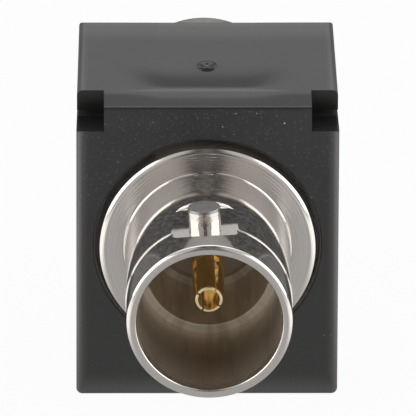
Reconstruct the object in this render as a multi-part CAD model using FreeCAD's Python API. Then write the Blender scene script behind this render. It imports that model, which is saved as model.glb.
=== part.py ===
import FreeCAD, Part
import math
import os

# A coaxial coupler that snaps into a wall plate: a moulded insert with a latch on top, and a
# nickelled brass adapter through it with a bayonet socket at each end.
# Sizes are in millimetres. X is to the right, Y runs from the front to the back along the
# sockets, Z is up. The origin is midway between the two rims, on the plane the insert stands on.

V = FreeCAD.Vector

# Socket, the same at both ends. Depths are measured from its rim
barrel_radius = 4.8
barrel_reach = 10.7
nose_step = 0.05
nose_length = 3.05
rim_chamfer = 0.2
mouth_radius = 4.19
mouth_chamfer = 0.14
bore_radius = 4.06
lead_in_depth = 1.7
step_radius = 3.57
step_depth = 8.0
step_chamfer = 0.1
lip_radius = 3.12
lip_depth = 13.4
lip_thickness = 0.6

# Bayonet lugs, milled out of the barrel's wall
lug_radius = 0.925
lug_span = 11.0
lug_depth = 4.1
lug_chamfer = 0.08
milled_radius = 2.4
milled_cut = 0.34
lug_turn = -3.2

# Front flange, and the shank that screws into the rear shell
flange_radius = 6.25
flange_chamfer = 0.32
flange_proud = 0.7
shank_radius = 4.76
thread_clearance = 0.02
thread_relief = 0.3

# Rear shell
hexagon_flats = 13.0
hexagon_thickness = 1.25
hexagon_chamfer = 0.35
hexagon_turn = 30.0
boss_radius = 5.7
boss_gap = 0.3
rear_seat_length = 0.9

# Lock washer under the hexagon
washer_thickness = 0.35
washer_rim_width = 0.4
washer_tooth_count = 12
washer_tooth_gap = 1.3
washer_clearance = 0.06

# Centre contact and the two beads that hold it
contact_radius = 0.95
tip_radius = 0.825
tip_recess = 3.35
tip_bore_radius = 0.62
pin_bore_radius = 0.72
pin_bore_depth = 6.5
finger_length = 5.0
slot_width = 0.15
slot_turn = 31.0
collar_radius = 1.6
collar_length = 1.2
seat_radius = 3.6
bead_clearance = 0.02

# Moulded housing
housing_width = 15.2
housing_depth = 11.1
housing_top = 18.11
side_draft = 0.19
axis_height = 9.53
edge_radius = 0.35
small_radius = 0.2
counterbore_gap = 0.3
counterbore_depth = 1.5
web_thickness = 1.6
web_clearance = 0.1
boss_clearance = 0.1
hole_chamfer = 0.1

# Latch plate on top, with a notch at each front corner
notch_width = 1.6
notch_height = 1.54
notch_depth = 2.5
latch_thickness = 1.22
latch_rise = 0.88
latch_step = 0.06
latch_ramp = 0.3
latch_root = 1.3
relief_depth = 0.08
relief_half_width = 3.0
relief_length = 6.0
gate_distance = 3.0
gate_radius = 0.55
gate_height = 0.07
gate_dimple_radius = 0.36
gate_dimple_depth = 0.14

# Groove under the housing for the plate's lower ledge, and the pockets cored from the back
groove_width = 2.4
groove_height = 1.4
outer_wall = 1.2
bore_wall = 1.2
pocket_radius = 0.4
middle_rib = 1.2

# Places along Y
total_length = (2 * barrel_reach + flange_proud + housing_depth
                + washer_thickness + hexagon_thickness)
half_length = total_length / 2
face_y = -half_length + barrel_reach + flange_proud
rear_y = face_y + housing_depth
seat_y = face_y + counterbore_depth
web_back_y = seat_y + web_thickness
ridge_y = face_y + notch_depth
hexagon_y = rear_y + washer_thickness
groove_y = ridge_y

# Depths from the rim, for the pieces inside
flange_back = barrel_reach + flange_proud + counterbore_depth
lip_back = lip_depth + lip_thickness
shank_end = total_length - lip_back - rear_seat_length
boss_end = half_length - (web_back_y + boss_gap)
thread_end = lip_back + rear_seat_length - thread_relief

# Heights and radii that follow
shoulder_z = housing_top - notch_height
ridge_z = housing_top + latch_step
latch_back_z = ridge_z + latch_rise
nose_radius = barrel_radius - nose_step
counterbore_radius = flange_radius + counterbore_gap
rear_bore_radius = boss_radius + boss_clearance
bead_radius = seat_radius - bead_clearance
bead_length = half_length - lip_back


def rounded_face(corners, place):
    """Flat face whose corners are (u, v) or (u, v, radius); place turns (u, v) into a point."""
    points = [V(c[0], c[1], 0) for c in corners]
    radii = [c[2] if len(c) > 2 else 0.0 for c in corners]
    starts, ends, middles = [], [], []
    for i, corner in enumerate(points):
        to_last = (points[i - 1] - corner).normalize()
        to_next = (points[(i + 1) % len(points)] - corner).normalize()
        half_angle = to_last.getAngle(to_next) / 2
        reach = radii[i] / math.tan(half_angle)
        starts.append(corner + to_last * reach)
        ends.append(corner + to_next * reach)
        inward = (to_last + to_next).normalize() if radii[i] else V(0, 0, 0)
        middles.append(corner + inward * radii[i] * (1 / math.sin(half_angle) - 1))
    edges = []
    for i in range(len(points)):
        if radii[i]:
            arc = [place(p.x, p.y) for p in (starts[i], middles[i], ends[i])]
            edges.append(Part.Arc(*arc).toShape())
        following = starts[(i + 1) % len(points)]
        edges.append(Part.makeLine(place(ends[i].x, ends[i].y), place(following.x, following.y)))
    return Part.Face(Part.Wire(edges))


def turned(corners):
    """Solid of revolution about the socket axis, from (radius, y) corners."""
    face = rounded_face(corners, lambda radius, y: V(radius, y, axis_height))
    return face.revolve(V(0, 0, axis_height), V(0, 1, 0), 360)


def rod(radius, start_y, end_y):
    """Cylinder on the socket axis."""
    return Part.makeCylinder(radius, end_y - start_y, V(0, start_y, axis_height), V(0, 1, 0))


def block(low, high):
    """Box between two opposite corners."""
    size = [b - a for a, b in zip(low, high)]
    return Part.makeBox(*size, V(*low))


def about_axis(shape, angle):
    """The shape turned about the socket axis."""
    shape.rotate(V(0, 0, axis_height), V(0, 1, 0), angle)
    return shape


def socket_inside():
    """Bore of a socket as (radius, depth), from behind the lip out to the rim."""
    return [
        (seat_radius, lip_back), (lip_radius, lip_back), (lip_radius, lip_depth),
        (step_radius, lip_depth), (step_radius, step_depth + step_chamfer),
        (step_radius + step_chamfer, step_depth), (bore_radius, step_depth),
        (bore_radius, lead_in_depth), (mouth_radius, mouth_chamfer),
        (mouth_radius + mouth_chamfer, 0),
    ]


def socket_outside():
    """Barrel of a socket as (radius, depth), from the rim back to the flange or hexagon."""
    return [
        (nose_radius - rim_chamfer, 0), (nose_radius, rim_chamfer),
        (nose_radius, nose_length), (barrel_radius, nose_length + nose_step),
        (barrel_radius, barrel_reach),
    ]


def with_lugs(shell, end):
    """The shell with a lug above and below, each left standing on its milled flat."""
    lug_y = end * (half_length - lug_depth)
    flat = barrel_radius - milled_cut
    reach = lug_span / 2
    root = (bore_radius + flat) / 2
    for side in (1, -1):
        up = V(0, 0, side)
        flat_centre = V(0, lug_y, axis_height + side * flat)
        root_centre = V(0, lug_y, axis_height + side * root)
        shell = shell.cut(Part.makeCylinder(milled_radius, reach - flat, flat_centre, up))
        shaft = Part.makeCylinder(lug_radius, reach - lug_chamfer - root, root_centre, up)
        top_centre = V(0, lug_y, axis_height + side * (reach - lug_chamfer))
        top = Part.makeCone(lug_radius, lug_radius - lug_chamfer, lug_chamfer, top_centre, up)
        shell = shell.fuse([shaft, top])
    return about_axis(shell.removeSplitter(), lug_turn)


def front_shell():
    """Front half of the adapter: socket, flange and threaded shank."""
    profile = socket_inside() + socket_outside() + [
        (flange_radius - flange_chamfer, barrel_reach),
        (flange_radius, barrel_reach + flange_chamfer),
        (flange_radius, flange_back), (shank_radius, flange_back),
        (shank_radius, shank_end), (seat_radius, shank_end),
    ]
    return with_lugs(turned([(radius, depth - half_length) for radius, depth in profile]), -1)


def hexagon():
    """Hexagonal flange of the rear shell, a corner upwards, bevelled on the outer side."""
    corner = hexagon_flats / math.sqrt(3)
    angles = [math.radians(hexagon_turn + 60 * i) for i in range(7)]
    ring = [V(corner * math.cos(a), hexagon_y, axis_height + corner * math.sin(a)) for a in angles]
    prism = Part.Face(Part.makePolygon(ring)).extrude(V(0, hexagon_thickness, 0))
    outer_y = hexagon_y + hexagon_thickness
    bevel = turned([
        (0, hexagon_y), (corner, hexagon_y), (corner, outer_y - hexagon_chamfer),
        (hexagon_flats / 2 - small_radius, outer_y), (0, outer_y),
    ])
    core = rod((barrel_radius + step_radius) / 2, hexagon_y, outer_y)
    return prism.common(bevel).cut(core)


def rear_shell():
    """Rear half of the adapter: socket, hexagon and the boss that takes the shank."""
    thread_radius = shank_radius + thread_clearance
    profile = socket_inside() + socket_outside() + [
        (boss_radius, barrel_reach), (boss_radius, boss_end), (thread_radius, boss_end),
        (thread_radius, thread_end), (seat_radius, thread_end),
    ]
    body = turned([(radius, half_length - depth) for radius, depth in profile])
    return with_lugs(body.fuse(hexagon()), 1)


def lock_washer():
    """Flat ring with teeth on its inside, between the housing and the hexagon."""
    inner = boss_radius + washer_clearance
    outer = hexagon_flats / 2
    washer = rod(outer, rear_y, hexagon_y).cut(rod(inner, rear_y, hexagon_y))
    gap_reach = outer - washer_rim_width
    half_gap = washer_tooth_gap / 2
    for i in range(washer_tooth_count):
        gap = block((-half_gap, rear_y, axis_height), (half_gap, hexagon_y, axis_height + gap_reach))
        washer = washer.cut(about_axis(gap, 360 / washer_tooth_count * i))
    return washer


def contact():
    """Double-ended socket contact, slotted into four fingers at each tip."""
    length = half_length - tip_recess
    half = [
        (0, 0), (collar_radius, 0), (collar_radius, collar_length / 2),
        (contact_radius, collar_length / 2), (contact_radius, length - finger_length),
        (tip_radius, length), (tip_bore_radius, length),
        (pin_bore_radius, length - finger_length), (pin_bore_radius, length - pin_bore_depth),
        (0, length - pin_bore_depth - pin_bore_radius / 2),
    ]
    body = turned(half).fuse(turned([(radius, -y) for radius, y in half]))
    for end in (1, -1):
        root_y, tip_y = sorted((end * (length - finger_length), end * (length + 1)))
        for turn in (0, 90):
            slot = block((-slot_width / 2, root_y, axis_height - 2 * contact_radius),
                         (slot_width / 2, tip_y, axis_height + 2 * contact_radius))
            body = body.cut(about_axis(slot, slot_turn + turn))
    return body.removeSplitter()


def bead(end):
    """Insulating bead: its outer face is against the lip, its inner side holds the collar."""
    hole = contact_radius + bead_clearance
    pocket = collar_radius + bead_clearance
    corners = [
        (hole, collar_length / 2), (pocket, collar_length / 2), (pocket, 0), (bead_radius, 0),
        (bead_radius, bead_length), (hole, bead_length),
    ]
    return turned([(radius, end * y) for radius, y in corners])


def latch_top(y):
    """Height of the latch plate's upper face at y."""
    return ridge_z + latch_rise * (y - ridge_y) / (rear_y - ridge_y)


def side_outline():
    """Housing seen from the side as (y, z): body, latch plate over its slot, and the groove."""
    slot_y = face_y + latch_root
    slot_radius = (latch_top(slot_y) - latch_thickness - shoulder_z) / 2 * 0.9
    return [
        (face_y, 0), (face_y, housing_top), (ridge_y - latch_ramp, housing_top), (ridge_y, ridge_z),
        (rear_y, latch_back_z), (rear_y, latch_back_z - latch_thickness),
        (slot_y, latch_top(slot_y) - latch_thickness, slot_radius), (slot_y, shoulder_z, slot_radius),
        (rear_y, shoulder_z), (rear_y, 0),
        (groove_y + groove_width, 0), (groove_y + groove_width, groove_height, small_radius),
        (groove_y, groove_height, small_radius), (groove_y, 0),
    ]


def plan_outline():
    """Housing seen from above as (x, y): the sides close in a little towards the back."""
    front = housing_width / 2
    back = front - side_draft
    return [(-front, face_y), (front, face_y), (back, rear_y), (-back, rear_y)]


def housing_blank():
    """Outer form of the housing with its outer edges rounded, before the holes are cut."""
    wide = housing_width
    side = rounded_face(side_outline(), lambda y, z: V(-wide, y, z)).extrude(V(2 * wide, 0, 0))
    plan = rounded_face(plan_outline(), lambda x, y: V(x, y, -1))
    blank = side.common(plan.extrude(V(0, 0, latch_back_z + 2))).cut(notches())
    blank = blank.makeFillet(edge_radius, outer_edges(blank))
    return blank.makeFillet(small_radius, [brow_edge(blank)])


def outer_edges(blank):
    """The long outer edges: down the sides, round the back, under the body, over the plate."""
    found = []
    narrowest = housing_width / 2 - side_draft - small_radius
    for edge in blank.Edges:
        box = edge.BoundBox
        at_side = min(abs(box.XMin), abs(box.XMax)) > narrowest
        upright = at_side and box.ZLength > groove_height
        across = box.XLength > 2 * narrowest and box.YLength < small_radius
        along = at_side and box.YLength > 2 * edge_radius
        on_top = box.ZMin > ridge_z - small_radius
        underneath = box.ZMax < small_radius
        at_back = box.YMin > rear_y - small_radius and on_top
        at_front = box.YMax < face_y + small_radius and underneath
        if upright or (across and (at_back or at_front)) or (along and (on_top or underneath)):
            found.append(edge)
    return found


def brow_edge(blank):
    """The upper edge of the front face, between the notches."""
    return next(edge for edge in blank.Edges
                if edge.BoundBox.ZMin > housing_top - small_radius / 2
                and edge.BoundBox.YMax < face_y + small_radius / 2)


def notches():
    """The two corner cuts whose back walls stop the insert in its opening."""
    inner = housing_width / 2 - notch_width
    low = (inner, face_y - 1, shoulder_z)
    high = (housing_width, ridge_y, latch_back_z + 1)
    right = block(low, high)
    return [right, right.mirror(V(0, 0, 0), V(1, 0, 0))]


def relief():
    """Shallow hollow in the middle of the latch plate, deepest at the plate's back edge."""
    start_y = rear_y - relief_length
    deep = relief_depth * (rear_y + 1 - start_y) / relief_length
    outline = [
        (start_y, latch_top(start_y)), (rear_y + 1, latch_top(rear_y + 1) - deep),
        (rear_y + 1, latch_top(rear_y + 1) + 1), (start_y, latch_top(start_y) + 1),
    ]
    face = rounded_face(outline, lambda y, z: V(-relief_half_width, y, z))
    return face.extrude(V(2 * relief_half_width, 0, 0))


def gate_mark(blank):
    """The blank with the raised ring and dimple that the moulding gate left on the plate."""
    y = ridge_y + gate_distance
    top = latch_top(y)
    ring = Part.makeCylinder(gate_radius, gate_height + small_radius, V(0, y, top - small_radius))
    dimple = Part.makeCone(0, gate_dimple_radius, gate_dimple_depth + gate_height,
                           V(0, y, top - gate_dimple_depth))
    return blank.fuse(ring).cut(dimple)


def bores():
    """What the adapter passes through: counterbore, hole in the web and rear bore."""
    mouth = Part.makeCone(counterbore_radius + hole_chamfer, counterbore_radius, hole_chamfer,
                          V(0, face_y, axis_height), V(0, 1, 0))
    return [
        mouth, rod(counterbore_radius, face_y, seat_y),
        rod(shank_radius + web_clearance, seat_y, web_back_y),
        rod(rear_bore_radius, web_back_y, rear_y),
    ]


def pockets():
    """Hollows cored from the back, so that no wall of the moulding is thick."""
    side_x = housing_width / 2 - side_draft - outer_wall
    start_y = groove_y + groove_width + outer_wall
    frame = [
        (middle_rib / 2, outer_wall, pocket_radius), (side_x, outer_wall, pocket_radius),
        (side_x, shoulder_z - outer_wall, pocket_radius),
        (middle_rib / 2, shoulder_z - outer_wall, pocket_radius),
    ]
    face = rounded_face(frame, lambda x, z: V(x, start_y, z))
    right = face.extrude(V(0, rear_y - start_y, 0))
    right = right.cut(rod(rear_bore_radius + bore_wall, start_y, rear_y))
    return [right, right.mirror(V(0, 0, 0), V(1, 0, 0))]


def housing():
    """The moulded insert, one piece with its latch plate."""
    blank = housing_blank().cut(relief())
    return gate_mark(blank).cut(bores() + pockets()).removeSplitter()


NODES = {
    "housing": housing,
    "front_shell": front_shell,
    "rear_shell": rear_shell,
    "lock_washer": lock_washer,
    "centre_contact": contact,
    "front_bead": lambda: bead(-1),
    "rear_bead": lambda: bead(1),
}

os.makedirs("parts", exist_ok=True)
for name, make in NODES.items():
    shape = make()
    solids = shape.Solids
    print(name, "solids", len(solids), "valid", shape.isValid(), "volume", round(shape.Volume, 3))
    solid = solids[0] if len(solids) == 1 else Part.makeCompound(solids)
    solid.exportStep("parts/" + name + ".step")
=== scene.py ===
# %% [markdown]
# # A coaxial wall-plate coupler, dressed for its portrait
# The real thing is about as long as a thumb joint: a black moulded insert with a latch plate on
# top, and a bright turned adapter through it with a bayonet socket at each end. The construction
# comes in as a fixed frame, already at its true size and place. This notebook adds what the frame
# doesn't have: softened edges, turned and moulded finishes, a floor, light and a camera.

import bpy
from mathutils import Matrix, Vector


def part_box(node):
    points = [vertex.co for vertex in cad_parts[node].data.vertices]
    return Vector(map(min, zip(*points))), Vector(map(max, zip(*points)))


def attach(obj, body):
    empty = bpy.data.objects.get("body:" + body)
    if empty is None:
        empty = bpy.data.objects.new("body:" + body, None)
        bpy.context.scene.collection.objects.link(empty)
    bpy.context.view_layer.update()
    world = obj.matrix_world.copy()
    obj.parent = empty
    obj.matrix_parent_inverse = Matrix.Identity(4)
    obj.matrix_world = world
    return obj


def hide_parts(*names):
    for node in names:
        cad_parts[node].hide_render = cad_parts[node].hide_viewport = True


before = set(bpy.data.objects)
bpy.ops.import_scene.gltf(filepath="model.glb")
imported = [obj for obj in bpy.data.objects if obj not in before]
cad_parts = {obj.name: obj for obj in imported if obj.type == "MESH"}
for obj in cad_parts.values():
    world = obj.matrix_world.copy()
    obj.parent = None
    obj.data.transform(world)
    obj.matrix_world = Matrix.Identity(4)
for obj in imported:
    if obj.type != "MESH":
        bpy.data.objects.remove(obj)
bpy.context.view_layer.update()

import math
from contextlib import contextmanager

import bmesh
import bpy
import numpy as np
from mathutils import Matrix, Vector

# %% [markdown]
# ## Measures
# Blender works in metres here, and the object is small, so shapes are worked out in millimetres and
# shrunk by one factor when they are done. The socket's axis is where the contact's box is centred,
# and the housing's box gives its face, so these places are read from the frame.

# %% Places that many steps share, in millimetres
MM = 0.001


def box_mm(node):
    """Lowest and highest corner of a node, in millimetres."""
    low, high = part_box(node)
    return np.array(low) / MM, np.array(high) / MM


contact_low, contact_high = box_mm("centre_contact")
housing_low, housing_high = box_mm("housing")

axis_z = float(contact_low[2] + contact_high[2]) / 2
contact_tip = float(contact_high[1])
face_y = float(housing_low[1])
rim_y = float(box_mm("rear_shell")[1][1])
flange_radius = float(box_mm("front_shell")[1][0])
flange_proud = 0.7
counterbore_depth = 1.5
web_thickness = 1.6
flange_y = face_y - flange_proud
print("axis height", axis_z, "face", face_y, "rim", rim_y, "flange radius", flange_radius)

# %% Sizes of the socket, as depths behind its rim
barrel_radius = 4.8
barrel_reach = 10.7
nose_step = 0.05
nose_length = 3.05
nose_round = 0.02
rim_round = 0.27
mouth_radius = 4.19
mouth_round = 0.14
bore_radius = 4.06
lead_in_depth = 1.7
lead_in_round = 2.0
step_radius = 3.57
step_depth = 8.0
step_round = 0.11
lip_radius = 3.12
lip_depth = 13.4
lip_back = 14.0
seat_radius = 3.6
shank_radius = 4.76
rear_seat = 0.9
flange_round = 0.42
flange_bevel = 0.156
junction_round = 0.09
fine_round = 0.04
hidden_round = 0.1
shell_columns = 384

# %% [markdown]
# ## Camera
# The photograph was taken with a long lens from 23 degrees above level and almost straight from
# the front. With a long lens a small object keeps its sides nearly parallel. The camera looks at a
# point a little above the middle of the flange, from three quarters of a metre away.

# %% Camera at the photograph's angle
picture_pixels = 416
elevation = math.radians(23.004)
yaw = math.radians(0.717)
roll = math.radians(0.245)
camera_distance = 745.34 * MM
focal_pixels = 12897.42
sensor_width = 36.0
aim_right = 0.0144
aim_above = 2.6006
aim = np.array([aim_right, flange_y, axis_z + aim_above]) * MM


def add_object(name, data):
    """New object of this data in the scene."""
    item = bpy.data.objects.new(name, data)
    bpy.context.scene.collection.objects.link(item)
    return item


def camera_axes():
    """Right, up and forward directions of the camera: forward dips by the elevation and swings by
    the yaw, right stays level before the roll, and the roll turns right and up about forward."""
    forward = np.array([math.sin(yaw) * math.cos(elevation), math.cos(yaw) * math.cos(elevation),
                        -math.sin(elevation)])
    level = np.array([math.cos(yaw), -math.sin(yaw), 0.0])
    upright = np.cross(level, forward)
    right = math.cos(roll) * level + math.sin(roll) * upright
    up = -math.sin(roll) * level + math.cos(roll) * upright
    return right, up, forward


def add_camera():
    """Camera looking along forward at the aim point."""
    right, up, forward = camera_axes()
    place = aim - camera_distance * forward
    data = bpy.data.cameras.new("camera")
    data.sensor_width = sensor_width
    data.lens = focal_pixels * sensor_width / picture_pixels
    camera = add_object("camera", data)
    matrix = np.eye(4)
    matrix[:3] = np.column_stack([right, up, -forward, place])
    camera.matrix_world = Matrix(matrix)
    bpy.context.scene.camera = camera
    print("lens", round(data.lens, 1), "mm")


add_camera()
bpy.context.scene.view_settings.view_transform = "Standard"

# %% [markdown]
# ## Small helpers for node trees
# A material is a graph of nodes. A few helpers keep the graphs short to read: one adds a node and
# fills its inputs, the others do arithmetic, ramps and mixtures. A mask is a number from 0 to 1.

# %% Node helpers
def add_node(tree, kind, inputs=None, **settings):
    """New node of this kind. Settings are its own properties, and inputs maps a socket to a value
    or to another node's output."""
    node = tree.nodes.new(kind)
    for name, value in settings.items():
        setattr(node, name, value)
    for name, value in (inputs or {}).items():
        socket = node.inputs[name]
        if isinstance(value, bpy.types.NodeSocket):
            tree.links.new(value, socket)
        else:
            socket.default_value = value
    return node


def math_node(tree, operation, *values):
    """Output of one arithmetic step on up to three values or sockets."""
    return add_node(tree, "ShaderNodeMath", dict(enumerate(values)), operation=operation).outputs[0]


def ramp(tree, value, low, high, out_low=0.0, out_high=1.0):
    """Smooth ramp from out_low, where the value is at low, to out_high, where it is at high. Low may
    be the greater of the two, for a mask that falls."""
    node = add_node(tree, "ShaderNodeMapRange", {
        "Value": value, "From Min": low, "From Max": high, "To Min": out_low, "To Max": out_high,
    }, interpolation_type="SMOOTHSTEP")
    return node.outputs["Result"]


def product(tree, first, *others):
    """Product of values. Of masks it is 1 only where all of them are."""
    for other in others:
        first = math_node(tree, "MULTIPLY", first, other)
    return first


def in_millimetres(tree, place):
    """X, Y and Z of a place, in millimetres."""
    scaled = add_node(tree, "ShaderNodeVectorMath", {0: place, "Scale": 1 / MM}, operation="SCALE")
    return add_node(tree, "ShaderNodeSeparateXYZ", {0: scaled.outputs[0]}).outputs


def blend_values(tree, share, first, second):
    """The first value where share is 0, the second where it is 1."""
    node = add_node(tree, "ShaderNodeMix", {0: share, 2: first, 3: second}, data_type="FLOAT")
    return node.outputs[0]


def blend_colours(tree, share, first, second):
    """The first colour where share is 0, the second where it is 1."""
    node = add_node(tree, "ShaderNodeMix", {0: share, 6: first, 7: second}, data_type="RGBA")
    return node.outputs[2]


# %% [markdown]
# ## Light
# Polished metal shows its surroundings more than its own colour, so the surroundings are what has
# to be right. The bright bands on the flange's rim say where the light came from: a large soft
# source at either side, a paler backdrop above and behind, and in front a dark upright band where
# the lens and its stand are. The world carries the backdrop and the dark band, and two wide lamps
# are the soft sources. Directions are unit vectors, so a pair of limits below is a pair of sines.

# %% World that gets brighter upwards behind the object, with a dark upright band in front
behind_from = (0.28, 0.5)
dusk_climb = (0.19, 0.42)
backdrop_climb = (0.38, 0.57)
overhead_climb = (0.64, 0.84)
band_side = (0.10, 0.27)
gleam_side = (0.03, 0.10)
front_level = 0.65
lens_level = 0.02
lens_gleam = 0.15
room_level = 0.37
dusk_level = 0.12
backdrop_gain = 0.68
overhead_gain = 1.35


def build_world():
    """Radiance by direction. Behind the object it is dusk at the horizon, with one gain where the
    direction climbs and another nearer overhead. In front it is even, but for the dark band, which
    has a paler line down its middle. The camera itself sees plain white."""
    world = bpy.data.worlds.new("studio")
    bpy.context.scene.world = world
    world.use_nodes = True
    tree = world.node_tree
    tree.nodes.clear()
    direction = add_node(tree, "ShaderNodeTexCoord").outputs["Generated"]
    parts = add_node(tree, "ShaderNodeSeparateXYZ", {0: direction}).outputs
    behind = ramp(tree, parts["Y"], *behind_from)
    bright = ramp(tree, parts["Z"], *dusk_climb, dusk_level, room_level)
    for climb, gain in ((backdrop_climb, backdrop_gain), (overhead_climb, overhead_gain)):
        risen = ramp(tree, parts["Z"], *climb)
        bright = math_node(tree, "MULTIPLY_ADD", risen, gain, bright)
    aside = math_node(tree, "ABSOLUTE", parts["X"])
    ahead = ramp(tree, aside, *band_side, lens_level, front_level)
    gleam = ramp(tree, aside, *gleam_side, lens_gleam, 0.0)
    ahead = math_node(tree, "ADD", ahead, gleam)
    level = blend_values(tree, behind, ahead, bright)
    seen = add_node(tree, "ShaderNodeLightPath").outputs["Is Camera Ray"]
    background = add_node(tree, "ShaderNodeBackground", {
        "Color": (1.0, 1.0, 1.0, 1.0), "Strength": blend_values(tree, seen, level, 1.0),
    })
    add_node(tree, "ShaderNodeOutputWorld", {"Surface": background.outputs[0]})


build_world()

# %% Two wide lamps, one at either side
lamp_radiance = 2.2
lamp_width = 150.0
lamp_height = 110.0
lamp_place = (105.0, -25.0, 58.0)


def side_lamp(side):
    """Soft source at one side of the object, facing it. A lamp's power is its radiance times its
    area times pi."""
    data = bpy.data.lights.new("side_lamp", "AREA")
    data.shape = "RECTANGLE"
    data.size = lamp_width * MM
    data.size_y = lamp_height * MM
    data.energy = lamp_radiance * data.size * data.size_y * math.pi
    lamp = add_object("side_lamp", data)
    place = Vector((side * lamp_place[0], lamp_place[1], lamp_place[2]))
    lamp.location = place * MM
    lamp.rotation_mode = "QUATERNION"
    lamp.rotation_quaternion = (Vector((0, flange_y, axis_z)) - place).to_track_quat("-Z", "Y")
    lamp.visible_camera = False
    print("lamp at", tuple(place), "power", round(data.energy, 4), "W")


for side in (-1, 1):
    side_lamp(side)

# %% [markdown]
# ## Floor
# A plain pale floor. To the camera it is almost white, as in the photograph, but part of what it
# shows is still its own shading, so the object keeps a soft shadow under it. Metal sees a floor
# that is grey straight ahead and white towards the side lamps, which is what the bright bands on
# the lug and on the flange's edge show: they mirror the table beside the object. Behind the object
# the lamps don't reach, so there the table is dark again, and the barrel's sides mirror that. Far
# in front it is grey all across.

# %% Floor
floor_size = 3.0
floor_colour = (0.62, 0.62, 0.615, 1.0)
white_share = 0.95
shine_ahead = 0.52
shine_beside = 1.55
shine_behind = 0.14
shine_side = (8.0, 26.0)
shadow_place = (2.0, 12.0)
far_place = (-40.0, -75.0)


def floor_material():
    """Matte paper. Camera rays see it mixed with white light, and glossy rays see light that grows
    with the distance to the side and falls again behind the object and far ahead of it."""
    material = bpy.data.materials.new("floor_paper")
    material.use_nodes = True
    tree = material.node_tree
    tree.nodes.clear()
    place = add_node(tree, "ShaderNodeTexCoord").outputs["Object"]
    parts = in_millimetres(tree, place)
    aside = math_node(tree, "ABSOLUTE", parts["X"])
    shine = ramp(tree, aside, *shine_side, shine_ahead, shine_beside)
    shine = blend_values(tree, ramp(tree, parts["Y"], *far_place), shine, shine_ahead)
    behind = ramp(tree, parts["Y"], *shadow_place)
    shine = blend_values(tree, behind, shine, shine_behind)
    rays = add_node(tree, "ShaderNodeLightPath").outputs
    share = math_node(tree, "MULTIPLY", rays["Is Camera Ray"], white_share)
    share = math_node(tree, "MAXIMUM", share, rays["Is Glossy Ray"])
    strength = blend_values(tree, rays["Is Camera Ray"], shine, 1.0)
    paper = add_node(tree, "ShaderNodeBsdfDiffuse", {"Color": floor_colour})
    white = add_node(tree, "ShaderNodeEmission", {"Color": (1.0, 1.0, 1.0, 1.0),
                                                  "Strength": strength})
    mixed = add_node(tree, "ShaderNodeMixShader", {0: share, 1: paper.outputs[0],
                                                   2: white.outputs[0]})
    add_node(tree, "ShaderNodeOutputMaterial", {"Surface": mixed.outputs[0]})
    return material


def add_floor():
    """Flat square on the plane that the object stands on."""
    half = floor_size / 2
    corners = [(-half, -half, 0.0), (half, -half, 0.0), (half, half, 0.0), (-half, half, 0.0)]
    mesh = bpy.data.meshes.new("floor")
    mesh.from_pydata(corners, [], [(0, 1, 2, 3)])
    mesh.materials.append(floor_material())
    floor = add_object("floor", mesh)


add_floor()

# %% [markdown]
# ## Finishes that several materials share
# Turned metal has fine rings, moulded plastic has a fine grain and picks up specks, and every
# surface has faint smears. Each effect is a node group with its own inputs, so it is built once and
# set differently in each material. The rings are one flat noise read by the distance from the
# socket's axis and the place along it: on a face turned flat they come out as circles, and on a
# barrel as lines round it, just as a tool leaves them.

# %% Groups of nodes
def make_group(build, *numbers, vectors=("Coordinates",)):
    """Node group with these number and vector inputs. The function that builds it takes the group
    and its inputs, and gives its outputs by name."""
    group = bpy.data.node_groups.new(build.__name__, "ShaderNodeTree")
    for kind, titles in (("NodeSocketVector", vectors), ("NodeSocketFloat", numbers)):
        for title in titles:
            group.interface.new_socket(title, in_out="INPUT", socket_type=kind)
    results = build(group, group.nodes.new("NodeGroupInput").outputs)
    for title in results:
        group.interface.new_socket(title, in_out="OUTPUT", socket_type="NodeSocketFloat")
    add_node(group, "NodeGroupOutput", results)
    return group


def place_about_axis(group, start):
    """Distance from the socket's axis, and place along it, both in millimetres."""
    parts = in_millimetres(group, start["Coordinates"])
    height = math_node(group, "SUBTRACT", parts["Z"], axis_z)
    square = math_node(group, "MULTIPLY", parts["X"], parts["X"])
    square = math_node(group, "MULTIPLY_ADD", height, height, square)
    return {"Radius": math_node(group, "SQRT", square), "Along": parts["Y"]}


def tool_rings(group, start):
    """Fine rings left by turning: a flat noise of (radius, along), fine lines over coarser ones."""
    spot = add_node(group, "ShaderNodeCombineXYZ", {0: start["Radius"], 1: start["Along"]})
    noise = add_node(group, "ShaderNodeTexNoise", {
        "Vector": spot.outputs[0], "Scale": start["Density"], "Detail": start["Detail"],
        "Roughness": 0.65,
    }, noise_dimensions="2D")
    return {"Height": noise.outputs["Fac"]}


def noise_of_size(group, start, detail, roughness):
    """Noise in a group whose inputs are the coordinates and a size in millimetres."""
    scale = math_node(group, "DIVIDE", 1.0 / MM, start["Size"])
    return add_node(group, "ShaderNodeTexNoise", {
        "Vector": start["Coordinates"], "Scale": scale, "Detail": detail, "Roughness": roughness,
    }).outputs["Fac"]


def grain(group, start):
    """Even fine grain of the given size in millimetres."""
    return {"Height": noise_of_size(group, start, 2.0, 0.6)}


def smears(group, start):
    """Slow uneven change, from 0 to 1, of the given size in millimetres."""
    return {"Value": ramp(group, noise_of_size(group, start, 4.0, 0.55), 0.3, 0.7)}


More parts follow.
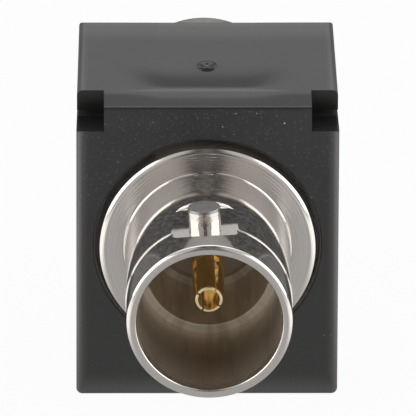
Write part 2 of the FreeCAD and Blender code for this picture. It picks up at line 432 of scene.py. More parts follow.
def specks(group, start):
    """Small round specks: in a share of the cells of a random pattern, a dot of random size."""
    scale = math_node(group, "DIVIDE", 1.0 / MM, start["Cell"])
    cells = add_node(group, "ShaderNodeTexVoronoi", {
        "Vector": start["Coordinates"], "Scale": scale, "Randomness": 1.0,
    })
    chance = add_node(group, "ShaderNodeSeparateColor", {0: cells.outputs["Color"]}).outputs
    chosen = math_node(group, "LESS_THAN", chance["Red"], start["Share"])
    reach = math_node(group, "MULTIPLY_ADD", chance["Green"], 0.6, 0.4)
    reach = product(group, reach, start["Dot"])
    inside = math_node(group, "SUBTRACT", 1.0,
                       math_node(group, "DIVIDE", cells.outputs["Distance"], reach))
    inside = ramp(group, inside, 0.0, 0.5)
    strength = math_node(group, "MULTIPLY_ADD", chance["Blue"], 0.7, 0.3)
    return {"Mask": product(group, inside, chosen, strength)}


shared = {
    "place_about_axis": make_group(place_about_axis),
    "tool_rings": make_group(tool_rings, "Radius", "Along", "Density", "Detail", vectors=()),
    "grain": make_group(grain, "Size"),
    "smears": make_group(smears, "Size"),
    "specks": make_group(specks, "Cell", "Share", "Dot"),
}
print("groups", sorted(shared))


# %% Helpers for materials
def use_group(tree, name, **inputs):
    """Places a shared group in a material and returns its outputs."""
    return add_node(tree, "ShaderNodeGroup", inputs, node_tree=shared[name]).outputs


def noise_at(tree, name, place, size):
    """The shared grain or smears of this size in millimetres."""
    return use_group(tree, name, Coordinates=place, Size=size)[0]


def about_axis(tree, place):
    """Radius and Along of a place about the socket's axis."""
    return use_group(tree, "place_about_axis", Coordinates=place)


def rings_at(tree, about, density, detail=3.0):
    """The shared tool rings at a place about the axis, with about this many to the millimetre."""
    return use_group(tree, "tool_rings", Radius=about["Radius"], Along=about["Along"],
                     Density=density, Detail=detail)["Height"]


def uneven(tree, place, size, colours, roughs):
    """Colour and roughness that smears of this size blend, each between a pair."""
    smear = noise_at(tree, "smears", place, size)
    return blend_colours(tree, smear, *colours), blend_values(tree, smear, *roughs)


def make_material(look, **plain):
    """Material with one Principled shader and these plain values. Its look is a function that takes
    the node tree and the place in object coordinates, and gives what feeds the shader's sockets, the
    height of a relief and its depth in millimetres."""
    material = bpy.data.materials.new(look.__name__)
    material.use_nodes = True
    tree = material.node_tree
    shader = tree.nodes["Principled BSDF"]
    for title, value in plain.items():
        shader.inputs[title].default_value = value
    fed, height, depth = look(tree, add_node(tree, "ShaderNodeTexCoord").outputs["Object"])
    bump = add_node(tree, "ShaderNodeBump", {"Height": height, "Distance": depth * MM,
                                             "Strength": 1.0})
    for title, value in {**fed, "Normal": bump.outputs["Normal"]}.items():
        tree.links.new(value, shader.inputs[title])
    return material


# %% [markdown]
# ## Black moulding
# The insert is a dark grey-black plastic with a fine satin skin. Its face shows small pale specks,
# most of them near the top, and its top is smoother. The look changes with the place, so the
# material reads where it is: the grain is deeper on the face than on the latch plate, the specks
# thin out downwards, and light and shade are painted into the colour: a painted highlight along
# the edges, a painted sheen towards the back of the latch plate, painted light from the floor low
# on the face, painted light in the gap round the flange, and painted shade in the notches. Each
# place is a pair of limits, where it starts and where it is full.

# %% Black plastic
edge_highlight_side = (housing_high[0] - 0.75, housing_high[0])
edge_highlight_foot = (1.5, 0.0)
edge_highlight_back = (housing_high[1] - 0.9, housing_high[1])
edge_highlight_front = (face_y + 0.6, face_y)
edge_highlight_top = (17.6, 18.0)
plate_sheen_back = (housing_high[1] - 2.6, housing_high[1] - 1.0)
plate_top = (housing_high[2] - 1.1, housing_high[2] - 0.9)
gap_inside = (5.6, 6.0)
gap_outside = (6.85, 6.70)
gap_front = (face_y + 0.03, face_y + 0.12)
notch_side = (5.9, 6.0)
notch_foot = (16.5, 16.56)
notch_front = (face_y + 0.1, face_y + 0.2)
notch_back = (face_y + 2.56, face_y + 2.5)
speck_height = (9.0, 16.5)
floor_light_height = (14.0, 3.0)


def painted_edge_highlight(tree, parts, aside):
    """Painted highlight: 1 along the edges of the front face and of the latch plate, which are made
    paler in place of the light that their roundings catch, and 0 a millimetre away from them: near
    the face, and at the same time near a side or the foot, or near the top, and at the same time
    near a side or the back edge."""
    side = ramp(tree, aside, *edge_highlight_side)
    foot = ramp(tree, parts["Z"], *edge_highlight_foot)
    back = ramp(tree, parts["Y"], *edge_highlight_back)
    near_face = ramp(tree, parts["Y"], *edge_highlight_front)
    near_top = ramp(tree, parts["Z"], *edge_highlight_top)
    front = product(tree, math_node(tree, "MAXIMUM", side, foot), near_face)
    above = product(tree, math_node(tree, "MAXIMUM", side, back), near_top)
    return math_node(tree, "MAXIMUM", front, above)


def painted_light_in_gap(tree, place):
    """1 on the counterbore round the flange, which is painted pale as painted light against the
    shade in the gap.
    """
    about = about_axis(tree, place)
    return product(tree, ramp(tree, about["Radius"], *gap_outside),
                   ramp(tree, about["Radius"], *gap_inside),
                   ramp(tree, about["Along"], *gap_front))


def in_shaded_notch(tree, parts, aside):
    """1 in the two notches at the top of the front face, whose walls are painted dark as shade."""
    return product(tree, ramp(tree, aside, *notch_side),
                   ramp(tree, parts["Z"], *notch_foot),
                   ramp(tree, parts["Y"], *notch_back),
                   ramp(tree, parts["Y"], *notch_front))


def black_moulding(tree, place):
    """Dark satin plastic with grain, smears and pale specks, with light and shade painted into its
    colour in places.
    """
    parts = in_millimetres(tree, place)
    aside = math_node(tree, "ABSOLUTE", parts["X"])
    shaded_notch = in_shaded_notch(tree, parts, aside)
    upwards = ramp(tree, parts["Z"], *speck_height, 0.3, 1.0)
    top = ramp(tree, parts["Z"], *plate_top)
    dots = use_group(tree, "specks", Coordinates=place, Cell=0.4, Share=0.13, Dot=0.15)
    flecks = ramp(tree, noise_at(tree, "grain", place, 0.13), 0.6, 0.75)
    dust = math_node(tree, "MULTIPLY_ADD", flecks, 0.18, dots["Mask"])
    dust = product(tree, blend_values(tree, shaded_notch, dust, 0.0), upwards,
                   blend_values(tree, top, 1.0, 0.1))
    dark, rough = uneven(tree, place, 2.5,
                         ((0.0205, 0.0205, 0.0215, 1), (0.0245, 0.0242, 0.0245, 1)), (0.30, 0.36))
    # Painted light: the face is made paler towards its foot, in place of light from the floor.
    dark = blend_colours(tree, ramp(tree, parts["Z"], *floor_light_height), dark,
                         (0.031, 0.0305, 0.0295, 1))
    # Painted sheen: the top of the latch plate is made paler towards its back edge.
    painted_shading = product(tree, ramp(tree, parts["Y"], *plate_sheen_back), top)
    dark = blend_colours(tree, painted_shading, dark, (0.054, 0.053, 0.052, 1))
    # Painted highlight: the edges are made paler, where their roundings would catch the light.
    dark = blend_colours(tree, painted_edge_highlight(tree, parts, aside), dark, (0.088, 0.086, 0.083, 1))
    # Painted light: the gap round the flange is made pale, against the shade that falls in it.
    dark = blend_colours(tree, painted_light_in_gap(tree, place), dark, (0.32, 0.305, 0.29, 1))
    # Painted shade: the notches are made darker.
    dark = blend_colours(tree, shaded_notch, dark, (0.011, 0.0105, 0.0095, 1))
    colour = blend_colours(tree, dust, dark, (0.5, 0.49, 0.48, 1))
    rough = blend_values(tree, top, rough, 0.16)
    rough = blend_values(tree, shaded_notch, rough, 0.25)
    height = product(tree, noise_at(tree, "grain", place, 0.09), blend_values(tree, top, 1.0, 0.25))
    return {"Base Color": colour, "Roughness": rough}, height, 0.006


# %% [markdown]
# ## Nickel plate
# The shells are turned brass with a bright nickel plate. The barrels are almost a mirror with a
# grey bloom in patches, the flat faces carry visible tool rings with painted shade in their
# grooves, the lugs' tops are dull and painted dark as shade, and inside the bores the plate is
# thin and matt, so the brass warms it, and it is painted paler far in as painted light, with a
# painted highlight on each step. All of this depends on the distance from the axis and the place
# along it, which the shared group gives. The hexagon's six sides weren't turned, so the rings
# leave them out.

# %% Nickel on turned brass
bore_edge = (4.20, 4.10)
face_edge = (barrel_radius + 0.06, barrel_radius + 0.15)
flange_behind = (1.0 - flange_y, 1.5 - flange_y)
lug_top = (5.35, 5.43)
rim_edge = (rim_y - 0.12, rim_y - 0.06)
step_highlight_edge = (0.12, 0.06)
deep_in_bore = (3.5, 9.0)
flats_inside = (6.40, 6.46)
flats_behind = (6.35, 6.2)
line_stretch = 0.03


def drawn_lines(tree, place, radius):
    """Noise of the direction about the axis, which gives faint lines along a bore."""
    parts = in_millimetres(tree, place)
    height = math_node(tree, "SUBTRACT", parts["Z"], axis_z)
    spot = add_node(tree, "ShaderNodeCombineXYZ", {
        0: math_node(tree, "DIVIDE", parts["X"], radius),
        1: math_node(tree, "MULTIPLY", parts["Y"], line_stretch),
        2: math_node(tree, "DIVIDE", height, radius),
    })
    return add_node(tree, "ShaderNodeTexNoise", {
        "Vector": spot.outputs[0], "Scale": 4.0, "Detail": 3.0, "Roughness": 0.6,
    }).outputs["Fac"]


def painted_bore_colour(tree, place, radius, behind_rim, deep):
    """Colour inside a bore: browner near the mouth, painted paler far in as painted light, with a
    painted highlight on each of the two steps, and faint brown lines along it."""
    # Painted light: far in the bore, where little light reaches, the colour is made much paler.
    inner = blend_colours(tree, deep, (0.45, 0.375, 0.30, 1), (0.96, 0.86, 0.71, 1))
    # Painted highlight: the two steps inside the bore are made bright.
    for depth in (step_depth, lip_depth):
        off_step = math_node(tree, "ABSOLUTE", math_node(tree, "SUBTRACT", behind_rim, depth))
        inner = blend_colours(tree, ramp(tree, off_step, *step_highlight_edge), inner, (1.0, 0.94, 0.82, 1))
    streak = ramp(tree, drawn_lines(tree, place, radius), 0.42, 0.66, 0.0, 0.3)
    return blend_colours(tree, streak, inner, (0.20, 0.17, 0.13, 1))


def bright_nickel(tree, place):
    """Nickel whose roughness, colour and ring depth change with the distance from the axis."""
    about = about_axis(tree, place)
    radius, from_middle = about["Radius"], math_node(tree, "ABSOLUTE", about["Along"])
    behind_rim = math_node(tree, "SUBTRACT", rim_y, from_middle)
    in_bore = ramp(tree, radius, *bore_edge)
    on_face = ramp(tree, radius, *face_edge)
    on_rim = ramp(tree, from_middle, *rim_edge)
    past_flange = ramp(tree, from_middle, *flange_behind)
    on_lug = product(tree, on_face, past_flange)
    shaded_lug_top = product(tree, past_flange, ramp(tree, radius, *lug_top))
    deep = ramp(tree, behind_rim, *deep_in_bore)
    coarse = rings_at(tree, about, 3.0)
    fine = rings_at(tree, about, 8.0, 0.5)
    colour = blend_colours(tree, on_face, (0.64, 0.602, 0.565, 1), (0.665, 0.628, 0.59, 1))
    colour = blend_colours(tree, in_bore, colour,
                           painted_bore_colour(tree, place, radius, behind_rim, deep))
    # Painted shade: the lugs' tops are made dark grey, standing for the dark surroundings that they
    # mirror.
    colour = blend_colours(tree, shaded_lug_top, colour, (0.25, 0.245, 0.24, 1))
    # Painted shade: the grooves of the coarse tool rings on the faces are made darker.
    painted_shading = product(tree, on_face, ramp(tree, coarse, 0.62, 0.38), 0.22)
    colour = blend_colours(tree, painted_shading, colour, (0.42, 0.395, 0.37, 1))
    bloom = ramp(tree, noise_at(tree, "grain", place, 0.3), 0.35, 0.7, 0.965, 0.88)
    metal = blend_values(tree, on_face, bloom, 0.99)
    metal = blend_values(tree, in_bore, metal, blend_values(tree, deep, 0.74, 0.32))
    rough = blend_values(tree, noise_at(tree, "smears", place, 1.8), 0.045, 0.08)
    for share, value in ((on_face, 0.15), (on_rim, 0.2), (on_lug, 0.21), (shaded_lug_top, 0.3),
                         (in_bore, 0.33)):
        rough = blend_values(tree, share, rough, value)
    on_flats = product(tree, ramp(tree, radius, *flats_inside),
                       ramp(tree, about["Along"], *flats_behind))
    ringed = math_node(tree, "SUBTRACT", on_face, on_flats)
    coarse = product(tree, coarse, blend_values(tree, ringed, 0.0002, 0.014))
    fine = product(tree, fine, blend_values(tree, ringed, 0.0002, 0.012))
    fed = {"Base Color": colour, "Metallic": metal, "Roughness": rough}
    return fed, math_node(tree, "ADD", coarse, fine), 1.0


# %% [markdown]
# ## Gold, bead and washer
# The contact is gold plated, drawn bright with faint lines. The beads are a dull turned plastic,
# and the washer is plated spring steel with a stamped, slightly uneven surface.

# %% The smaller finishes
pin_bore_edge = (0.76, 0.70)
tip_edge = (contact_tip - 0.14, contact_tip - 0.05)


def gold_plate(tree, place):
    """Gold with faint turning lines, painted paler inside the tips' bores as painted light, and on
    their ends as a painted highlight.
    """
    about = about_axis(tree, place)
    inside = ramp(tree, about["Radius"], *pin_bore_edge)
    tip = ramp(tree, math_node(tree, "ABSOLUTE", about["Along"]), *tip_edge)
    colour, rough = uneven(tree, place, 0.6,
                           ((0.86, 0.60, 0.24, 1), (0.90, 0.66, 0.30, 1)), (0.1, 0.2))
    # Painted light: the inside of the tips' bores is made paler.
    colour = blend_colours(tree, inside, colour, (1.0, 0.80, 0.46, 1))
    # Painted highlight: the tips' ends are made paler and creamier.
    colour = blend_colours(tree, tip, colour, (1.0, 0.85, 0.52, 1))
    rough = blend_values(tree, tip, rough, 0.2)
    return {"Base Color": colour, "Roughness": rough}, rings_at(tree, about, 14.0), 0.0008


def bead_plastic(tree, place):
    """Dull brownish plastic with turning rings."""
    colour, rough = uneven(tree, place, 1.2,
                           ((0.72, 0.66, 0.58, 1), (0.80, 0.74, 0.66, 1)), (0.45, 0.6))
    rings = rings_at(tree, about_axis(tree, place), 7.0)
    return {"Base Color": colour, "Roughness": rough}, rings, 0.004


def washer_steel(tree, place):
    """Plated spring steel, stamped, with a fine grain."""
    colour, rough = uneven(tree, place, 1.5,
                           ((0.46, 0.45, 0.43, 1), (0.56, 0.55, 0.53, 1)), (0.25, 0.4))
    return {"Base Color": colour, "Roughness": rough}, noise_at(tree, "grain", place, 0.12), 0.004


materials = {
    "black_moulding": make_material(black_moulding, IOR=1.5),
    "bright_nickel": make_material(bright_nickel),
    "gold_plate": make_material(gold_plate, Metallic=1.0),
    "bead_plastic": make_material(bead_plastic, IOR=1.45),
    "washer_steel": make_material(washer_steel, Metallic=1.0),
}
print("materials", sorted(materials))

# %% [markdown]
# ## Turned pieces
# A lathe makes a surface of revolution, so a turned piece is its section carried round an axis. A
# modelling program could spin a drawn curve, but here the section is a short list of corners, each
# with a rounding, because that is how a turner's drawing gives it. Every corner of real turned work
# is rounded a little, and in polished metal those roundings are what catches the light.

# %% Section outline with rounded corners
def unit(vectors):
    """Vectors scaled to length one."""
    length = np.linalg.norm(vectors, axis=-1, keepdims=True)
    return vectors / np.maximum(length, 1e-12)


def rounded_outline(corners, arc_steps=8):
    """Outline through (radius, along, rounding) corners. An arc starts and ends at rounding /
    tan(half the corner's angle) from the corner, and its centre is at rounding / sin(half the
    angle) along the corner's bisector. Its points turn evenly from its start to its end."""
    corners = np.array(corners, float)
    flat, rounding = corners[:, :2], corners[:, 2]
    to_last = unit(np.roll(flat, 1, 0) - flat)
    to_next = unit(np.roll(flat, -1, 0) - flat)
    half = np.arccos(np.clip((to_last * to_next).sum(1), -1, 1)) / 2
    reach = (rounding / np.tan(half))[:, None]
    centre = flat + unit(to_last + to_next) * (rounding / np.sin(half))[:, None]
    start = flat + to_last * reach - centre
    end = flat + to_next * reach - centre
    turn = (math.pi - 2 * half)[:, None]
    share = np.linspace(0, 1, arc_steps + 1)[None, :]
    first = np.sin((1 - share) * turn) / np.sin(turn)
    second = np.sin(share * turn) / np.sin(turn)
    arcs = centre[:, None] + first[..., None] * start[:, None] + second[..., None] * end[:, None]
    runs = [arc if step else corner[None] for arc, step, corner in zip(arcs, rounding, flat)]
    return np.concatenate(runs)


# %% Grid carried round an axis
def grid_faces(rows, columns, rows_close):
    """Four-sided faces of a grid that closes round its columns, and round its rows if asked."""
    row, column = np.meshgrid(np.arange(rows if rows_close else rows - 1), np.arange(columns),
                              indexing="ij")
    next_row, next_column = (row + 1) % rows, (column + 1) % columns
    corners = [row * columns + column, row * columns + next_column,
               next_row * columns + next_column, next_row * columns + column]
    return np.stack(corners, -1).reshape(-1, 4)


@contextmanager
def editing(mesh):
    """The mesh in a form that can be edited, written back at the end."""
    work = bmesh.new()
    work.from_mesh(mesh)
    yield work
    work.to_mesh(mesh)
    work.free()


def new_piece(name, points, faces):
    """Mesh object from arrays, with doubles merged and its faces pointing outwards."""
    mesh = bpy.data.meshes.new(name)
    mesh.from_pydata(points.reshape(-1, 3).tolist(), [], faces.tolist())
    with editing(mesh) as work:
        bmesh.ops.remove_doubles(work, verts=work.verts, dist=1e-5)
        bmesh.ops.recalc_face_normals(work, faces=work.faces)
    return add_object(name, mesh)


def turned(name, radius, along, columns, closed=True, centre=(0, 0, 0), axis=(0, 1, 0)):
    """Surface of revolution. A point is the centre, plus along times the axis, plus the radius
    times the direction that starts at a side and turns with the column. Rows of radius and along
    may also change from column to column."""
    axis = unit(np.array(axis, float))
    upward = np.array([0.0, 0.0, 1.0]) if abs(axis[2]) < 0.9 else np.array([0.0, 1.0, 0.0])
    up = unit(upward - axis * (upward @ axis))
    side = np.cross(axis, up)
    angle = np.linspace(0, 2 * math.pi, columns, endpoint=False)
    around = np.cos(angle)[:, None] * up + np.sin(angle)[:, None] * side
    radius = np.broadcast_to(radius.reshape(len(radius), -1), (len(radius), columns))
    along = np.broadcast_to(along.reshape(len(along), -1), (len(along), columns))
    points = np.array(centre) + along[..., None] * axis + radius[..., None] * around
    return new_piece(name, points, grid_faces(len(radius), columns, closed))


# %% Joining, cutting and finishing
def settle(piece):
    """Makes the result of the piece's modifiers its own mesh."""
    bpy.context.view_layer.update()
    graph = bpy.context.evaluated_depsgraph_get()
    before = piece.data
    piece.data = bpy.data.meshes.new_from_object(piece.evaluated_get(graph))
    piece.modifiers.clear()
    bpy.data.meshes.remove(before)


def combine(piece, tool, operation):
    """Cuts the tool from the piece or joins it on, and removes the tool."""
    modifier = piece.modifiers.new("combine", "BOOLEAN")
    modifier.operation = operation
    modifier.solver = "EXACT"
    modifier.object = tool
    settle(piece)
    bpy.data.meshes.remove(tool.data)


turned_limit = math.radians(15)
moulded_limit = math.radians(24)


def finish(piece, name, material, slot, limit, *nodes):
    """Shades the piece smooth up to the limit angle, with normals weighted by area so that flat
    faces stay flat, shrinks it to metres and puts it in place of its nodes."""
    piece.data.shade_smooth()
    piece.data.set_sharp_from_angle(angle=limit)
    modifier = piece.modifiers.new("even", "WEIGHTED_NORMAL")
    modifier.keep_sharp = True
    settle(piece)
    piece.data.transform(Matrix.Scale(MM, 4))
    piece.name = piece.data.name = name
    piece.data.materials.clear()
    piece.data.materials.append(materials[material])
    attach(piece, "root")
    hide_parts(*nodes)
    print(name, "triangles", sum(len(face.vertices) - 2 for face in piece.data.polygons))


# %% [markdown]
# ## The two shells
# Both ends of the adapter have the same socket: a bore with a lead-in at its mouth, a step far
# inside where the plug's insulator stops, and a lip that holds the bead. Outside, the nose is a
# hair thinner than the barrel. The front shell ends in a round flange with a well rounded edge. The
# rear one is turned from hexagonal bar, so its flange keeps the bar's six sides, bevelled by the
# same cut that faced it.

# %% Section of a socket
def socket_corners():
    """Section of a socket from behind the lip, out along the bore, round the rim and back along the
    barrel to the flange, as (radius, depth, rounding)."""
    nose_radius = barrel_radius - nose_step
    return [
        (seat_radius, lip_back, 0), (lip_radius, lip_back, fine_round),
        (lip_radius, lip_depth, fine_round), (step_radius, lip_depth, fine_round),
        (step_radius, step_depth, step_round), (bore_radius, step_depth, fine_round),
        (bore_radius, lead_in_depth, lead_in_round), (mouth_radius, 0, mouth_round),
        (nose_radius, 0, rim_round), (nose_radius, nose_length, nose_round),
        (barrel_radius, nose_length + nose_step / 2, nose_round),
        (barrel_radius, barrel_reach, junction_round),
    ]


# %% Bayonet lugs, left standing when the barrel is milled round them
lug_radius = 0.925
lug_round = 0.07
lug_span = 11.0
lug_depth = 4.1
lug_sunk = 0.05
lug_turn = math.radians(-3.2)
lug_columns = 128
milled_radius = 2.5
milled_round = 0.12
milled_cut = 0.37
mill_lean = math.radians(2.4)
mill_length = 1.5
mill_columns = 192


def add_lugs(shell, end):
    """Cuts a round flat above and below, and joins a lug on to each. A lug is turned about the
    direction that it points in, and the cutter about that direction leant towards the rim, with
    its flat end still centred on the lug."""
    flat = barrel_radius - milled_cut
    root = (bore_radius + flat) / 2 - lug_sunk
    cutter = rounded_outline([(0, 0, 0), (milled_radius, 0, milled_round),
                              (milled_radius, mill_length, 0), (0, mill_length, 0)])
    lug = rounded_outline([(0, root, 0), (lug_radius, root, 0),
                           (lug_radius, lug_span / 2, lug_round), (0, lug_span / 2, 0)])
    for side in (1, -1):
        out = side * np.array([math.sin(lug_turn), 0, math.cos(lug_turn)])
        centre = np.array([0, end * (rim_y - lug_depth), axis_z])
        lean = math.cos(mill_lean) * out + math.sin(mill_lean) * np.array([0, end, 0])
        tool = turned("cutter", *cutter.T, mill_columns, closed=False,
                      centre=centre + flat * out, axis=lean)
        combine(shell, tool, "DIFFERENCE")
        tool = turned("lug", *lug.T, lug_columns, closed=False, centre=centre, axis=out)
        combine(shell, tool, "UNION")


# %% Front shell
flange_back = barrel_reach + flange_proud + counterbore_depth
shank_end = 2 * rim_y - lip_back - rear_seat


def front_shell():
    """Socket, round flange and shank, as one closed section."""
    outline = rounded_outline(socket_corners() + [
        (flange_radius - flange_bevel, barrel_reach, flange_round),
        (flange_radius, barrel_reach + flange_bevel, fine_round),
        (flange_radius, flange_back, hidden_round), (shank_radius, flange_back, 0),
        (shank_radius, shank_end, hidden_round), (seat_radius, shank_end, 0),
    ])
    shell = turned("shell", *outline.T, shell_columns, centre=(0, -rim_y, axis_z))
    add_lugs(shell, -1)
    finish(shell, "front_shell_turned", "bright_nickel", "nickel_plate", turned_limit,
           "front_shell")


front_shell()

# %% Rear shell
hexagon_flats = 13.0
hexagon_thickness = 1.25
bevel_depth = 0.35
bevel_start = hexagon_flats / 2 - 0.2
hexagon_round = 0.05
boss_radius = 5.7
boss_gap = 0.3
boss_end = rim_y - (face_y + counterbore_depth + web_thickness + boss_gap)
thread_radius = 4.78
thread_round = 0.05
thread_relief = 0.3
thread_end = lip_back + rear_seat - thread_relief


def hexagon_rows(columns):
    """Radius and depth of the hexagon's outside, column by column. The radius of a hexagon is half
    its width across flats divided by the cosine of the angle from the middle of the nearest side,
    and the bevel is a cone, so it meets the sides deeper near the corners."""
    angle = np.linspace(0, 2 * math.pi, columns, endpoint=False)
    from_side = (angle % (math.pi / 3)) - math.pi / 6
    side = hexagon_flats / 2 / np.cos(from_side)
    corner = hexagon_flats / math.sqrt(3)
    slope = bevel_depth / (corner - bevel_start)
    bevel_end = barrel_reach + slope * (side - bevel_start)
    back = np.full(columns, barrel_reach + hexagon_thickness)
    radius = [np.full(columns, bevel_start), side - hexagon_round, side, side, side - hexagon_round]
    depth = [np.full(columns, barrel_reach), bevel_end - slope * hexagon_round,
             bevel_end + hexagon_round, back - hexagon_round, back]
    return np.array(radius), np.array(depth)


def rear_shell():
    """Socket, hexagon and the boss that takes the shank."""
    outside = rounded_outline(socket_corners() + [(bevel_start, barrel_reach, 0)])[:-1]
    inside = rounded_outline([
        (boss_radius, barrel_reach + hexagon_thickness, 0), (boss_radius, boss_end, hidden_round),
        (thread_radius, boss_end, thread_round), (thread_radius, thread_end, 0),
        (seat_radius, thread_end, 0),
    ])
    sides = hexagon_rows(shell_columns)
    wide = np.ones(shell_columns)
    radius = np.concatenate([outside[:, :1] * wide, sides[0], inside[:, :1] * wide])
    depth = np.concatenate([outside[:, 1:] * wide, sides[1], inside[:, 1:] * wide])
    shell = turned("shell", radius, rim_y - depth, shell_columns, centre=(0, 0, axis_z))
    add_lugs(shell, 1)
    finish(shell, "rear_shell_turned", "bright_nickel", "nickel_plate", turned_limit,
           "rear_shell")


rear_shell()

# %% [markdown]
# ## Centre contact
# A gold rod, drilled at both ends for the plugs' pins. Each tip is sawn across twice and its four
# fingers are closed in, so the slots narrow towards the tip. It is turned from its section, and
# wedge-shaped blades then cut the slots.

# %% Contact with four fingers at each tip
collar_radius = 1.6
collar_half = 0.6
contact_radius = 0.95
tip_radius = 0.825
tip_bore = 0.62
pin_bore = 0.72
pin_bore_depth = 4.8
finger_length = 4.4
tip_round = 0.12
tip_inner_round = 0.02
slot_root_width = 0.34
slot_end_width = 0.06
slot_turn = math.radians(31)
blade_past = 1.0
blade_half = 2.0
contact_columns = 128


def contact_half():
    """Section of one end from the bottom of its bore to the collar, as (radius, along)."""
    bottom = contact_tip - pin_bore_depth
    root = contact_tip - finger_length
    return [
        (0, bottom - pin_bore / 2, 0), (pin_bore, bottom, 0), (pin_bore, root, 0),
        (tip_bore, contact_tip, tip_inner_round), (tip_radius, contact_tip, tip_round),
        (contact_radius, root, 0), (contact_radius, collar_half, 0),
        (collar_radius, collar_half, fine_round),
    ]


def slot_blade(end, turn):
    """Blade through the axis, with four corners at the slots' root and four nearer together past
    the tip."""
    across = np.array([math.cos(turn), 0, -math.sin(turn)])
    upward = np.array([math.sin(turn), 0, math.cos(turn)])
    corners = []
    for along, width in ((contact_tip - finger_length, slot_root_width),
                         (contact_tip + blade_past, slot_end_width)):
        for side, level in ((-1, -1), (1, -1), (1, 1), (-1, 1)):
            corners.append(side * width / 2 * across + level * blade_half * upward
                           + np.array([0, end * along, axis_z]))
    faces = [(0, 1, 2, 3), (4, 5, 6, 7), (0, 1, 5, 4), (1, 2, 6, 5), (2, 3, 7, 6), (3, 0, 4, 7)]
    return new_piece("blade", np.array(corners), np.array(faces))


def centre_contact():
    """Both ends as one turned piece, with two blades cut through each tip."""
    half = contact_half()
    mirrored = [(radius, -along, rounding) for radius, along, rounding in reversed(half)]
    outline = rounded_outline(half + mirrored)
    contact = turned("contact", *outline.T, contact_columns, closed=False, centre=(0, 0, axis_z))
    for end in (-1, 1):
        for turn in (slot_turn, slot_turn + math.pi / 2):
            combine(contact, slot_blade(end, turn), "DIFFERENCE")
    finish(contact, "contact_turned", "gold_plate", "gold_plate", turned_limit, "centre_contact")


centre_contact()

# %% [markdown]
# ## Moulded housing
# The moulding's true form is in the frame already: notches, latch plate over its slot, groove and
# cored corners. A new shape would only repeat it, so this piece starts from a copy of the node's
# mesh. What a moulding has and a construction lacks is softness: its thick latch plate sank a
# little as it cooled, most of all behind the middle of the ridge, the step up to the ridge is a
# soft curve there, and the shallow hollow at the back has no hard sides. The copy's plate is sliced
# into a fine grid and its points are moved.

# %% Copy of the housing with a sink mark in its latch plate
strip_length = 2.5
strip_top = 18.11
strip_step = 0.06
latch_rise = 0.88
ridge_y = face_y + strip_length
plate_low = housing_high[2] - 1.0
sink_depth = 0.38
sink_side = (2.4, 6.6)
sink_places = (1.9, 3.5)
sink_powers = (1.5, 2.5)
outer_side = (2.0, 5.2)
crest_rise = 0.12
crest_side = (2.4, 5.0)
climb_powers = (5, 12)
hollow_width = 3.0
hollow_depth = 0.08
hollow_length = 6.0
hollow_softness = 0.35
edge_round = 0.4
edge_cut = 0.24
slice_step = 0.2
slices_aside = 35
slices_ahead = (0.06, 0.12, 0.2, 0.3, 0.4, 0.5, 0.65, 0.8, 1.0, 1.25, 1.5, 1.8, 2.1)
gate_y = ridge_y + 3.0
gate_shift = 0.3
gate_reach = 1.5
hair = 0.001


def merged_copy(node, name):
    """The node's mesh in millimetres, as one merged mesh with flat areas joined."""
    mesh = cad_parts[node].data.copy()
    mesh.transform(Matrix.Scale(1 / MM, 4))
    with editing(mesh) as work:
        bmesh.ops.remove_doubles(work, verts=work.verts, dist=1e-4)
        bmesh.ops.dissolve_limit(work, angle_limit=math.radians(0.2), verts=work.verts,
                                 edges=work.edges)
    return add_object(name, mesh)


def slice_plate(work):
    """Cuts the faces of the plate's upper side and the hollow's walls along planes in X and in Y,
    which stand closer towards the ridge in the strip ahead of it."""
    plate = work.faces.layers.int.new("plate")
    for face in work.faces:
        middle = face.calc_center_median()
        wall = abs(face.normal.x) > 0.9 and abs(abs(middle.x) - hollow_width) < 10 * hair
        face[plate] = int(middle.z > plate_low and (wall or face.normal.z > 0.9))
    columns = np.arange(-slices_aside, slices_aside + 1) * slice_step
    behind = np.arange(ridge_y + slice_step, housing_high[1], slice_step)
    ahead = ridge_y - np.array(slices_ahead)
    cuts = [((x, 0, 0), (1, 0, 0)) for x in columns]
    cuts += [((0, y, 0), (0, 1, 0)) for y in (*behind, *ahead)]
    for place, direction in cuts:
        faces = [face for face in work.faces if face[plate]]
        edges = {edge for face in faces for edge in face.edges}
        verts = {vert for face in faces for vert in face.verts}
        bmesh.ops.bisect_plane(work, geom=[*faces, *edges, *verts], dist=1e-5,
                               plane_co=place, plane_no=direction)


def fall(value, start, end):
    """1 before the start, 0 past the end, and a smooth curve between."""
    share = np.clip((value - start) / (end - start), 0, 1)
    return 1 - share * share * (3 - 2 * share)


def between(pair, share):
    """The pair's first value where share is 0, its second where it is 1."""
    return pair[0] + (pair[1] - pair[0]) * share


def edge_drop(place):
    """How far the plate's rounded back edge lies below its top, at a place before the edge."""
    into = np.clip(place + edge_round, 0, edge_round)
    return edge_round - np.sqrt(edge_round ** 2 - into ** 2)


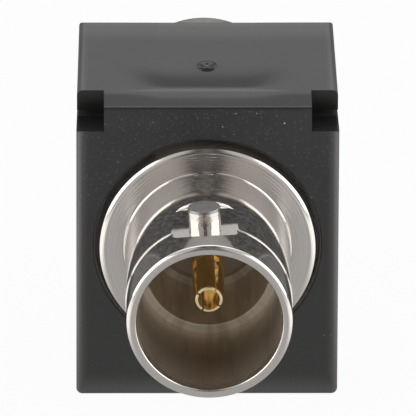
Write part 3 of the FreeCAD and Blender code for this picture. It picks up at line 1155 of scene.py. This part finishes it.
def sink_plate(mesh):
    """Behind the ridge the plate is lowered by depth * width * (1 - exp(-(b / place) ** power)),
    where b is the distance behind the ridge, less a raised crest, and both end at the back edge.
    Place and power grow from the middle to the sides, so that the dish is round. Ahead of the ridge
    the strip climbs to the ridge as its place to the fifth power in the middle, a soft curve, and to
    the twelfth at the sides, a short step. Across the hollow's walls the height goes over in a soft
    curve from the floor's to the plate's. The gate mark moves back by shift * exp(-(distance /
    reach) ** 2). Limits that lie on a row of points are a hair off it."""
    points = np.empty(len(mesh.vertices) * 3)
    mesh.vertices.foreach_get("co", points)
    points = points.reshape(-1, 3)
    x, y, z = np.abs(points[:, 0]), points[:, 1], points[:, 2].copy()
    back = housing_high[1]
    length = back - ridge_y
    slope = latch_rise / length
    over = z > plate_low
    behind = np.maximum(y - ridge_y, 0)
    hollow = hollow_depth * np.clip((y - back) / hollow_length + 1, 0, 1)
    hollow *= 1 - np.clip((y - back + edge_round) / edge_cut, 0, 1) ** 2
    above = z > strip_top + strip_step + slope * behind - hollow / 2 - edge_drop(y - back)
    upper = (x > hollow_width + hair) | (above & (x > hollow_width - hair))
    down = fall(x, hollow_width - hollow_softness, hollow_width + hollow_softness)
    z -= over * hollow * np.where(upper, down, down - 1)
    outer = 1 - fall(x, *outer_side)
    reach = behind / between(sink_places, outer)
    lower = sink_depth * fall(x, *sink_side) * (1 - np.exp(-reach ** between(sink_powers, outer)))
    in_crest = fall(x, *crest_side)
    crest = crest_rise * in_crest
    z -= over * (y > ridge_y - hair) * (lower - crest) * (1 - behind / length)
    ahead = over & (y < ridge_y - hair) & (points[:, 2] > strip_top - hair)
    climb = np.clip(1 + (y - ridge_y) / strip_length, 0, 1)
    climb **= between(climb_powers, 1 - in_crest)
    z = np.where(ahead, strip_top + (strip_step + crest) * climb, z)
    from_gate = np.hypot(x, y - gate_y)
    shift = over * (y > ridge_y + hair) * gate_shift * np.exp(-(from_gate / gate_reach) ** 2)
    points[:, 1] += shift
    points[:, 2] = z + shift * slope
    mesh.vertices.foreach_set("co", points.ravel())


def housing():
    """Copy of the housing with its plate sunk, and without the slivers that this leaves."""
    piece = merged_copy("housing", "housing")
    with editing(piece.data) as work:
        slice_plate(work)
    sink_plate(piece.data)
    with editing(piece.data) as work:
        bmesh.ops.remove_doubles(work, verts=work.verts, dist=2 * hair)
        bmesh.ops.dissolve_degenerate(work, edges=work.edges, dist=1e-4)
    finish(piece, "housing_moulded", "black_moulding", "black_plastic", moulded_limit, "housing")


housing()

# %% [markdown]
# ## Pieces whose form is right as it is
# The beads and the washer are nearly hidden, and their construction is their true form. They stay
# as they come and only get their finish. A node behind a new piece gets the same finish as it.

# %% Finishes of the nodes
node_finish = {
    "front_bead": "bead_plastic", "rear_bead": "bead_plastic", "lock_washer": "washer_steel",
    "housing": "black_moulding", "front_shell": "bright_nickel", "rear_shell": "bright_nickel",
    "centre_contact": "gold_plate",
}
for name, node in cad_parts.items():
    node.data.materials.clear()
    node.data.materials.append(materials[node_finish[name]])
